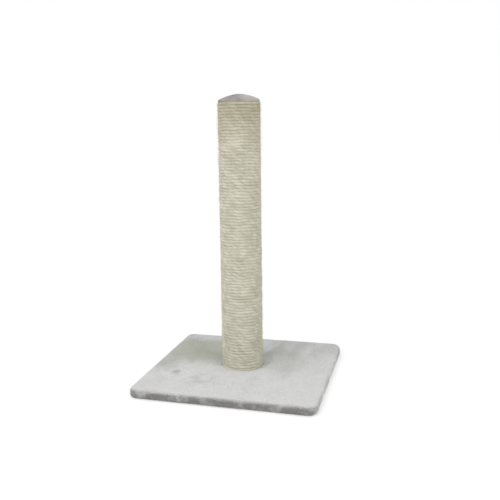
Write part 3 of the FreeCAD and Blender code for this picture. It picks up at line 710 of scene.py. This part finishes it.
# ---- Sisal rope ------------------------------------------------------------------------------------
# Three strands of pale, dry sisal laid right-handed, wound tight up the tube from foot to cap. It is
# one rope of about 24 m, kept here in the same four stretches as the frame. The lowest turns lie level
# and step up at the back, and the others lean a little, so that they look level from the front.

STRETCHES = ("sisal_rope_1", "sisal_rope_2", "sisal_rope_3", "sisal_rope_4")
ROPE_DIAMETER = 0.006
ROPE_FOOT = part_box(STRETCHES[0])[0][2] + ROPE_DIAMETER / 2
ROPE_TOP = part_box(STRETCHES[-1])[1][2] - ROPE_DIAMETER / 2
START_ANGLE = math.radians(150.0)
END_ANGLE = math.radians(16.0)
TUBE_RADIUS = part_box("post_tube")[1][0]
WOUND_RADIUS = TUBE_RADIUS + 0.0002 + ROPE_DIAMETER / 2
LEAST_RISE = 0.00645
PART_TURN = ((END_ANGLE - START_ANGLE) / (2 * math.pi)) % 1.0
TURNS = math.floor((ROPE_TOP - ROPE_FOOT) / LEAST_RISE - PART_TURN) + PART_TURN
LEAN = 0.0016
STEEPEST_AT = math.radians(106.8)
RISE = (ROPE_TOP + LEAN - ROPE_FOOT) / TURNS
HEM_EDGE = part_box("cap_plush")[0][2]


def wavering(tree, along, scale, amount, seed):
    """A number that wanders about zero, by amount each way, as along grows."""
    wander = add(tree, "ShaderNodeTexNoise", {"W": calc(tree, "ADD", along, seed), "Scale": scale,
                                              "Detail": 1.0}, noise_dimensions="1D")
    return calc(tree, "MULTIPLY", calc(tree, "SUBTRACT", wander.outputs[0], 0.5), amount)


def turn_height(tree, given, turn, angle, cosine, sine, height):
    """The height of the rope's centre line: uneven and wavy up the post, leaning, and level at its foot."""
    foot_fade, wavy_from, wavy_to, cap_fade, lean_from = 0.028, 0.060, 0.575, 0.600, 0.100
    rows, step_from = 9.0, 0.86
    around = add(tree, "ShaderNodeCombineXYZ", {0: cosine, 1: sine, 2: calc(tree, "MULTIPLY", height, rows)})
    wave = calc(tree, "SUBTRACT", cloudy(tree, around.outputs[0], 1.7, 1.0)["Fac"], 0.5)
    wave = calc(tree, "MULTIPLY", wave, given["Wave Height"])
    inside_ends = calc(tree, "MULTIPLY", between(tree, height, foot_fade, wavy_from),
                       between(tree, height, cap_fade, wavy_to))
    level = calc(tree, "ADD", wavering(tree, turn, scale=3.1, amount=0.0008, seed=47.0), height)
    level = calc(tree, "MULTIPLY_ADD", wave, inside_ends, level)
    lean = calc(tree, "SINE", calc(tree, "SUBTRACT", angle, given["Steepest At"]))
    lean = calc(tree, "MULTIPLY", lean, between(tree, height, foot_fade, lean_from))
    level = calc(tree, "MULTIPLY_ADD", lean, given["Lean"], level)
    part = calc(tree, "FRACT", turn)
    late = calc(tree, "SUBTRACT", between(tree, part, step_from, 1.0), part)
    late = calc(tree, "MULTIPLY", late, between(tree, turn, given["Level Turns"], 0.0))
    return calc(tree, "MULTIPLY_ADD", late, given["Rise"], level)


def laid_rope_tree():
    """Three strands twisted round a centre line that winds up the post."""
    tree, given = new_tree("laid_rope", (
        "First Turn", "Last Turn", "Start Angle", "Rise", "Foot Height", "Wound Radius", "Hem Height",
        "Hem Swell", "Lean", "Steepest At", "Level Turns", "Wave Height", "Strand Radius",
        "Offset Outwards", "Offset Upwards", "Lays In A Turn", "Steps In A Turn"), {})
    line = add(tree, "GeometryNodeCurvePrimitiveLine")
    strands = add(tree, "GeometryNodeDuplicateElements", {"Geometry": line.outputs["Curve"], "Amount": 3},
                  domain="SPLINE").outputs
    numbered = marked(tree, strands["Geometry"], "strand", strands["Duplicate Index"], "CURVE")
    turns = calc(tree, "SUBTRACT", given["Last Turn"], given["First Turn"])
    fine = add(tree, "GeometryNodeResampleCurve", {
        "Curve": numbered, "Count": calc(tree, "MULTIPLY", turns, given["Steps In A Turn"])})
    factor = add(tree, "GeometryNodeSplineParameter").outputs["Factor"]
    turn = calc(tree, "ADD", given["First Turn"], calc(tree, "MULTIPLY", factor, turns))
    angle = calc(tree, "MULTIPLY_ADD", turn, 2 * math.pi, given["Start Angle"])
    cosine, sine = calc(tree, "COSINE", angle), calc(tree, "SINE", angle)
    height = calc(tree, "MULTIPLY_ADD", turn, given["Rise"], given["Foot Height"])
    over_hem = between(tree, calc(tree, "SUBTRACT", height, given["Hem Height"]), -0.0095, -0.003)
    radius = calc(tree, "MULTIPLY_ADD", over_hem, given["Hem Swell"], given["Wound Radius"])
    radius = calc(tree, "ADD", wavering(tree, turn, scale=2.3, amount=0.0009, seed=11.0), radius)
    level = turn_height(tree, given, turn, angle, cosine, sine, height)
    strand = add(tree, "GeometryNodeInputNamedAttribute", {"Name": "strand"}, data_type="FLOAT")
    lay = calc(tree, "ADD", calc(tree, "MULTIPLY", turn, given["Lays In A Turn"]),
               wavering(tree, turn, scale=1.7, amount=0.8, seed=83.0))
    twist = calc(tree, "MULTIPLY", calc(tree, "ADD", lay, calc(tree, "DIVIDE", strand.outputs[0], 3.0)),
                 2 * math.pi)
    across = calc(tree, "MULTIPLY", calc(tree, "COSINE", twist), given["Offset Outwards"])
    down = calc(tree, "MULTIPLY", calc(tree, "SINE", twist), given["Offset Upwards"])
    outward = add(tree, "ShaderNodeCombineXYZ", {0: cosine, 1: sine, 2: 0.0}).outputs[0]
    place = vector_sum(tree, (outward, calc(tree, "ADD", radius, across)),
                       ((0.0, 0.0, 1.0), calc(tree, "SUBTRACT", level, down)))
    laid = add(tree, "GeometryNodeSetPosition", {"Geometry": fine.outputs["Curve"], "Position": place})
    length = marked(tree, laid.outputs["Geometry"], "along", turn)
    ring = add(tree, "GeometryNodeCurvePrimitiveCircle", {"Resolution": 8, "Radius": given["Strand Radius"]})
    around = marked(tree, ring.outputs["Curve"], "around",
                    add(tree, "GeometryNodeSplineParameter").outputs["Factor"])
    fatness = calc(tree, "ADD", wavering(tree, turn, scale=9.0, amount=0.42, seed=131.0), 1.0)
    tube = add(tree, "GeometryNodeCurveToMesh", {"Curve": length, "Profile Curve": around,
                                                 "Scale": fatness, "Fill Caps": True})
    smooth = add(tree, "GeometryNodeSetShadeSmooth", {"Geometry": tube.outputs["Mesh"]})
    real = add(tree, "GeometryNodeRealizeInstances", {"Geometry": smooth.outputs["Geometry"]})
    give_out(tree, real.outputs["Geometry"], given["Material"])
    return tree


def sisal():
    """Straw-pale fibre: fine streaks twisted back along each strand, the strands a little unlike each
    other, and slow changes of tone along the rope."""
    material, tree, surface, place = new_material("sisal")
    along, around, strand = (add(tree, "ShaderNodeAttribute", attribute_name=name).outputs["Fac"]
                             for name in ("along", "around", "strand"))
    lays_back, fibre_stretch, fibre_width, strand_shift = 14.7, 30.0, 2.2, 7.0
    circle = calc(tree, "MULTIPLY", calc(tree, "MULTIPLY_ADD", along, lays_back, around), 2 * math.pi)
    fibre_place = add(tree, "ShaderNodeCombineXYZ", {
        0: calc(tree, "MULTIPLY", along, fibre_stretch),
        1: calc(tree, "MULTIPLY", calc(tree, "COSINE", circle), fibre_width),
        2: calc(tree, "MULTIPLY_ADD", calc(tree, "SINE", circle), fibre_width,
                calc(tree, "MULTIPLY", strand, strand_shift))})
    fibres = cloudy(tree, fibre_place.outputs[0], 2.6, 4.0, roughness=0.75)["Fac"]
    patches = cloudy(tree, place, 34.0, 3.0, roughness=0.6)["Fac"]
    lengths = add(tree, "ShaderNodeTexNoise", {"W": calc(tree, "MULTIPLY_ADD", strand, 31.0, along),
                                               "Scale": 7.0, "Detail": 2.0}, noise_dimensions="1D")
    tone = calc(tree, "MULTIPLY", between(tree, fibres, 0.32, 0.68), 0.42)
    tone = calc(tree, "MULTIPLY_ADD", between(tree, patches, 0.3, 0.7), 0.20, tone)
    tone = calc(tree, "MULTIPLY_ADD", between(tree, lengths.outputs[0], 0.35, 0.65), 0.42, tone)
    colour = blend_colours(tree, tone, (180, 176, 155), (228, 225, 210))
    # The rope is made darker and warmer towards the top of the post.
    darker_near_top = calc(tree, "MULTIPLY", between(tree, parts_of(tree, place)["Z"], 0.50, 0.60), 0.55)
    darker_near_top = calc(tree, "MULTIPLY", darker_near_top, between(tree, along, 0.0, 1.0))
    colour = blend_colours(tree, darker_near_top, colour, (210, 204, 180), "MULTIPLY")
    coat(tree, surface, fibres, 0.8, 0.0006, base_color=colour, roughness=0.85,
         sheen_weight=0.12, sheen_roughness=0.5, specular_ior_level=0.2)
    return material


def loose_fibre_tree():
    """Short bent fibres that stand out of the rope's face, mostly lying along it."""
    tree, given = new_tree("loose_fibres", ("Density", "Fibre Length", "Fibre Radius", "Spread"),
                           {"Seed": "Int"})
    place, seed = add(tree, "GeometryNodeInputPosition").outputs[0], given["Seed"]
    outward = vector_calc(tree, "NORMALIZE", vector_calc(tree, "MULTIPLY", place, (1.0, 1.0, 0.0)))
    normal = add(tree, "GeometryNodeInputNormal").outputs[0]
    faces_out = vector_calc(tree, "DOT_PRODUCT", normal, outward, result="Value")
    shows = add(tree, "FunctionNodeCompare", {0: faces_out, 1: 0.25}, operation="GREATER_THAN")
    roots = add(tree, "GeometryNodeDistributePointsOnFaces", {
        "Mesh": given["Geometry"], "Selection": shows.outputs[0], "Density": given["Density"],
        "Seed": seed}, distribute_method="RANDOM").outputs
    bend = add(tree, "GeometryNodeCurveQuadraticBezier", {
        "Resolution": 3, "Start": (0.0, 0.0, -0.04), "Middle": (0.5, 0.05, 0.10), "End": (1.0, 0.0, 0.26)})
    ring = add(tree, "GeometryNodeCurvePrimitiveCircle", {
        "Resolution": 3, "Radius": calc(tree, "DIVIDE", given["Fibre Radius"], given["Fibre Length"])})
    fibre = add(tree, "GeometryNodeCurveToMesh", {
        "Curve": bend.outputs["Curve"], "Profile Curve": ring.outputs["Curve"], "Fill Caps": True})
    tangent = vector_calc(tree, "CROSS_PRODUCT", (0.0, 0.0, 1.0), outward)
    stray = random_value(tree, (-1.0, -1.0, -1.0), (1.0, 1.0, 1.0), seed)
    way = calc(tree, "SIGN", random_value(tree, -1.0, 1.0, seed))
    heading = vector_sum(tree, (tangent, way), (stray, given["Spread"]))
    turned = add(tree, "FunctionNodeAxesToRotation", {
        "Primary Axis": roots["Normal"], "Secondary Axis": heading}, primary_axis="Z", secondary_axis="X")
    size = random_value(tree, 0.5, 1.5, seed)
    fibres = add(tree, "GeometryNodeInstanceOnPoints", {
        "Points": roots["Points"], "Instance": fibre.outputs["Mesh"],
        "Rotation": turned.outputs[0], "Scale": calc(tree, "MULTIPLY", size, given["Fibre Length"])})
    real = add(tree, "GeometryNodeRealizeInstances", {"Geometry": fibres.outputs["Instances"]})
    give_out(tree, real.outputs["Geometry"], given["Material"])
    return tree


sisal_material = sisal()
rope_tree = laid_rope_tree()
fibre_tree = loose_fibre_tree()
rope_cuts = [math.floor(TURNS * index / len(STRETCHES)) for index in range(len(STRETCHES))] + [TURNS]
for index, node in enumerate(STRETCHES):
    stretch = grown("laid_rope_%d" % (index + 1), rope_tree, {
        "First Turn": float(rope_cuts[index]), "Last Turn": float(rope_cuts[index + 1]),
        "Start Angle": START_ANGLE, "Rise": RISE, "Foot Height": ROPE_FOOT,
        "Wound Radius": WOUND_RADIUS, "Hem Height": HEM_EDGE, "Hem Swell": 0.0004,
        "Lean": LEAN, "Steepest At": STEEPEST_AT, "Level Turns": 30.0,
        "Wave Height": 0.006, "Strand Radius": 0.00211, "Offset Outwards": 0.00100,
        "Offset Upwards": 0.00176, "Lays In A Turn": 13.4, "Steps In A Turn": 147.0,
        "Material": sisal_material})
    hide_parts(node)
    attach(stretch, "root")
    fuzz = grown("rope_fibres_%d" % (index + 1), fibre_tree, {
        "Density": 42000.0, "Fibre Length": 0.0070, "Fibre Radius": 0.00009, "Spread": 0.8,
        "Seed": index + 1, "Material": sisal_material}, stretch.data)
    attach(fuzz, "root")
dress("rope_end_nails", zinc)


# ---- Wadding under the cap -------------------------------------------------------------------------
# A round pad of polyester wadding, cut to size and laid on the end of the tube and its plug. It is
# crowned in the middle, and the cap's plush holds it down.

CROWN_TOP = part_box("cap_plush")[1][2] - PILE_STANDS
TUBE_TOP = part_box("post_tube")[1][2]
CAP_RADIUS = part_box("cap_plush")[1][0] - PILE_STANDS / 2
CAP_UNDERSIDE = TUBE_TOP + 0.0002
RIM_HEIGHT = 0.0044
CAP_PLUSH_THICKNESS = 0.005
CROWN_RISE = CROWN_TOP - CAP_UNDERSIDE - RIM_HEIGHT
CROWN_SPHERE = (CAP_RADIUS ** 2 + CROWN_RISE ** 2) / (2 * CROWN_RISE)


def level_ring(radius, height, count):
    """Points round a level circle."""
    return [Vector((radius * math.cos(2 * math.pi * i / count), radius * math.sin(2 * math.pi * i / count),
                    height)) for i in range(count)]


def crown_rings(outer_radius, top, sphere, steps, count):
    """Rings over a crown from its edge to the last one before its highest point."""
    rings = []
    for index in range(steps):
        radius = outer_radius * (1 - index / steps)
        rings.append(level_ring(radius, top - sphere + math.sqrt(sphere ** 2 - radius ** 2), count))
    return rings


def wadding_pad():
    """The pad's mesh: flat below, crowned above, soft and lumpy."""
    count, edge, lump, sag = 96, 0.0006, 0.0003, 0.0003
    radius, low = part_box("cap_padding")[1][0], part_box("cap_padding")[0][2]
    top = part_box("cap_padding")[1][2] - 0.0002 - PILE_STANDS
    rings = [[Vector((0, 0, low))], level_ring(radius * 0.5, low, count),
             level_ring(radius - edge, low, count), level_ring(radius - 0.0001, low + edge, count)]
    for ring in crown_rings(radius - 0.0004, top, CROWN_SPHERE - CAP_PLUSH_THICKNESS, 18, count):
        rings.append([point + Vector((0, 0, lump * noise.noise(point * 160.0) - sag)) for point in ring])
    rings.append([Vector((0, 0, top - sag))])
    piece = mesh_of_rings("wadding_pad", rings)
    turn_outwards(piece)
    return piece


def wadding():
    """White matted fibre."""
    material, tree, surface, place = new_material("wadding")
    mat = cloudy(tree, place, 700.0, 5.0, roughness=0.7, distortion=1.2)["Fac"]
    colour = blend_colours(tree, mat, (222, 222, 220), (245, 245, 243))
    coat(tree, surface, mat, 0.6, 0.0008, base_color=colour, roughness=0.95)
    return material


pad_piece = wadding_pad()
pad_piece.data.materials.append(wadding())
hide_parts("cap_padding")
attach(pad_piece, "root")


# ---- Plush cap -------------------------------------------------------------------------------------
# A disc of darker grey plush stretched over the wadding. Its gathered edge is stapled to the tube and
# held down by the last two turns of rope.

CAP_COUNT = 192
UNDER_ROUNDING = 0.0016
CROWN_ROUNDING = 0.0030


def slump(angle):
    """How far the cap's rim hangs below its highest place, as it follows the last turn of the rope."""
    step_up = 0.045
    share = ((angle - END_ANGLE) / (2 * math.pi)) % 1.0
    ramp = min(share / step_up, 1.0)
    hang = RISE * (1.0 - share) - LEAN * (1.0 + math.sin(angle - STEEPEST_AT))
    return max(hang, 0.0) * ramp * ramp * (3.0 - 2.0 * ramp)


def cap_section():
    """(radius, height, how free the pile is, how much it hangs) from the hem's edge up to the crown."""
    hem = TUBE_RADIUS + 0.0007
    steps = [(hem, HEM_EDGE, 0.0, 0.0), (hem, CAP_UNDERSIDE - 0.0075, 0.0, 0.0),
             (hem + 0.0002, CAP_UNDERSIDE - 0.0016, 0.0, 0.85), (hem + 0.0010, CAP_UNDERSIDE, 0.0, 1.0),
             (CAP_RADIUS - UNDER_ROUNDING, CAP_UNDERSIDE, 0.0, 1.0)]
    for index in range(1, 5):
        angle = math.pi / 2 * index / 4
        steps.append((CAP_RADIUS - UNDER_ROUNDING * (1 - math.sin(angle)),
                      CAP_UNDERSIDE + 0.0012 * (1 - math.cos(angle)), 1.0, 1.0 - 0.12 * index))
    edge_slope = math.asin(CAP_RADIUS / CROWN_SPHERE)
    centre_radius = CAP_RADIUS - CROWN_ROUNDING
    centre_height = (CROWN_TOP - CROWN_SPHERE
                     + math.sqrt((CROWN_SPHERE - CROWN_ROUNDING) ** 2 - centre_radius ** 2))
    for index in range(6):
        angle = (math.pi / 2 - edge_slope * 0.92) * index / 5
        steps.append((centre_radius + CROWN_ROUNDING * math.cos(angle),
                      centre_height + CROWN_ROUNDING * math.sin(angle), 1.0, 0.30 * (1 - index / 5)))
    return steps


def cap_cover():
    """The cap's mesh: a closed sheet, thick with pile over the crown and crushed thin at the hem."""
    rings, free = [], []
    gathers, gather_depth, rim_lump = 30, 0.00025, 0.0004
    crown_steps, flattened, fine_lump, broad_lump = 26, 0.0006, 0.0003, 0.0005
    for radius, height, pile, hang in cap_section():
        ring = []
        for point in level_ring(radius, height, CAP_COUNT):
            angle = math.atan2(point.y, point.x)
            swirl = noise.noise(Vector((math.cos(angle), math.sin(angle), 2.0)))
            gather = gather_depth * math.sin(gathers * angle + 3 * swirl) * (0.5 if pile else 0.3)
            outward = Vector((math.cos(angle), math.sin(angle), 0.0))
            lump = rim_lump * pile * noise.noise(point * 130.0)
            ring.append(point + outward * (gather + lump) - Vector((0, 0, hang * slump(angle))))
        rings.append(ring)
        free.append(pile)
    crown_edge = sum(math.hypot(point.x, point.y) for point in rings[-1]) / CAP_COUNT
    for ring in crown_rings(crown_edge - 0.0010, CROWN_TOP, CROWN_SPHERE, crown_steps, CAP_COUNT):
        soft = []
        for point in ring:
            flatter = flattened * math.sin(math.pi * math.hypot(point.x, point.y) / CAP_RADIUS)
            lump = fine_lump * noise.noise(point * 170.0) + broad_lump * noise.noise(point * 38.0)
            soft.append(point + Vector((0, 0, lump - flatter)))
        rings.append(soft)
        free.append(1.0)
    rings.append([Vector((0, 0, CROWN_TOP))])
    free.append(1.0)
    outside = mesh_of_rings("cap_cover", rings, free=free)
    inside = TUBE_RADIUS + 0.0001
    lining_top = CROWN_TOP - CAP_PLUSH_THICKNESS
    lining = crown_rings(inside, lining_top, CROWN_SPHERE - CAP_PLUSH_THICKNESS, 6, CAP_COUNT)
    lining = [[Vector((0, 0, lining_top))]] + lining[::-1] + [level_ring(inside, HEM_EDGE, CAP_COUNT)]
    return joined_at_hem(outside, mesh_of_rings("cap_lining", lining, free=[0.0] * len(lining)))


def joined_at_hem(outside, inside):
    """Joins the cap's outer and inner shells into one closed mesh along the hem's lower edge."""
    shell = bmesh.new()
    shell.from_mesh(outside.data)
    shell.from_mesh(inside.data)
    shell.verts.ensure_lookup_table()
    outer_ring, inner_ring = shell.verts[:CAP_COUNT], shell.verts[-CAP_COUNT:]
    for index in range(CAP_COUNT):
        following = (index + 1) % CAP_COUNT
        shell.faces.new((outer_ring[index], inner_ring[index], inner_ring[following],
                         outer_ring[following]))
    shell.to_mesh(outside.data)
    shell.free()
    bpy.data.objects.remove(inside)
    turn_outwards(outside)
    outside.data.shade_smooth()
    return outside


def cap_plush_colour_and_highlight(tree, place):
    """Darker grey with a faint mauve cast, clouded at random, with a painted highlight on its right front.
    """
    clouds = between(tree, cloudy(tree, place, 45.0, 3.0)["Fac"], 0.3, 0.7)
    colour = blend_colours(tree, clouds, (138, 133, 132), (162, 157, 154))
    # Painted highlight: a paler patch on the cap's right front.
    painted_highlight = soft_oval_patch(tree, place, (0.030, -0.012), (0.022, 0.032), 0.5)
    return blend_colours(tree, calc(tree, "MULTIPLY", painted_highlight, 0.8), colour, (180, 175, 171))


cap_piece = cap_cover()
cap_plush_material = plush_shader("cap_plush", cap_plush_colour_and_highlight, 700.0, 0.0008)
cap_piece.data.materials.append(cap_plush_material)
cap_pile = grown("cap_pile", plush_pile, {
    "Spacing": 0.00095, "Tuft Length": 0.0022, "Root Radius": 0.00045,
    "Brushed Towards": (0.3, 0.7, -0.5), "Swing": 4.0, "Lane Scale": 30.0, "Steepness": 0.33,
    "Stray": 0.20, "Lowest": HEM_EDGE, "Seed": 5, "Material": cap_plush_material}, cap_piece.data)
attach(cap_pile, "root")
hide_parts("cap_plush")
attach(cap_piece, "root")
dress("cap_hem_staples", staple_wire)


# ---- Floor, light and camera -----------------------------------------------------------------------
# A plain white floor under two soft lamps and even light from all round. The camera stands where the
# photograph was taken from.

def seen_directly(tree):
    """1 for what the camera sees, straight or by way of a glossy or clear surface, and 0 for light."""
    path = add(tree, "ShaderNodeLightPath").outputs
    return calc(tree, "MAXIMUM", path["Is Camera Ray"],
                calc(tree, "MAXIMUM", path["Is Glossy Ray"], path["Is Transmission Ray"]))


def floor_material():
    """White to the camera, with the object's soft shadow kept near it and plain white further off."""
    material, tree, surface, place = new_material("studio_floor")
    far = between(tree, vector_calc(tree, "LENGTH", place, result="Value"), 0.6, 1.8)
    glow = calc(tree, "MULTIPLY", seen_directly(tree), calc(tree, "MULTIPLY_ADD", far, 0.15, 0.30))
    feed(tree, surface, base_color=(0.80, 0.80, 0.80, 1.0), roughness=0.95, specular_ior_level=0.0,
         emission_color=(1.0, 1.0, 1.0, 1.0), emission_strength=glow)
    return material


def studio_floor():
    """A wide level disc."""
    piece = mesh_of_rings("studio_floor", [[Vector((0, 0, 0))], level_ring(0.7, 0.0, 64),
                                           level_ring(14.0, 0.0, 64)])
    piece.data.materials.append(floor_material())
    return piece


def studio_world():
    """Even light from all round, and plain white behind the object."""
    world = bpy.data.worlds.new("studio")
    world.use_nodes = True
    tree = world.node_tree
    tree.nodes.clear()
    strength = calc(tree, "MULTIPLY_ADD", seen_directly(tree), 0.28, 0.72)
    shell = add(tree, "ShaderNodeBackground", {"Color": (1.0, 1.0, 1.0, 1.0), "Strength": strength})
    add(tree, "ShaderNodeOutputWorld", {"Surface": shell.outputs[0]})
    bpy.context.scene.world = world


def soft_box(name, place, target, width, power):
    """A square lamp that points at a target."""
    data = bpy.data.lights.new(name, "AREA")
    data.shape = "SQUARE"
    data.size = width
    data.energy = power
    lamp = bpy.data.objects.new(name, data)
    lamp.location = place
    lamp.rotation_euler = (Vector(target) - Vector(place)).to_track_quat("-Z", "Y").to_euler()
    bpy.context.collection.objects.link(lamp)


def photo_camera():
    """The camera, at the place and lens that fit the photograph's outlines."""
    azimuth, elevation, roll = math.radians(16.8142), math.radians(9.5927), math.radians(-1.1745)
    distance = 1.4996
    sideways, height = -0.0462, 0.3081
    frame_width, focal, middle = 500.0, 674.26, (220.19, 241.81)
    back = Vector((math.sin(azimuth) * math.cos(elevation), -math.cos(azimuth) * math.cos(elevation),
                   math.sin(elevation)))
    target = Vector((sideways * math.cos(azimuth), sideways * math.sin(azimuth), height))
    right = Vector((0, 0, 1)).cross(back).normalized()
    up = back.cross(right)
    turned_right = right * math.cos(roll) + up * math.sin(roll)
    turned_up = up * math.cos(roll) - right * math.sin(roll)
    data = bpy.data.cameras.new("photo_camera")
    data.sensor_width = 36.0
    data.lens = data.sensor_width * focal / frame_width
    data.shift_x = 0.5 - middle[0] / frame_width
    data.shift_y = middle[1] / frame_width - 0.5
    camera = bpy.data.objects.new("photo_camera", data)
    axes = Matrix((turned_right, turned_up, back)).transposed().to_4x4()
    camera.matrix_world = Matrix.Translation(target + back * distance) @ axes
    bpy.context.collection.objects.link(camera)
    bpy.context.scene.camera = camera


floor = studio_floor()
studio_world()
soft_box("key_light", (-1.2, -2.2, 2.3), (0.0, 0.0, 0.3), 2.2, 36.0)
soft_box("fill_light", (2.1, -1.5, 1.8), (0.0, 0.0, 0.3), 2.0, 20.0)
photo_camera()
bpy.context.scene.view_settings.view_transform = "Standard"
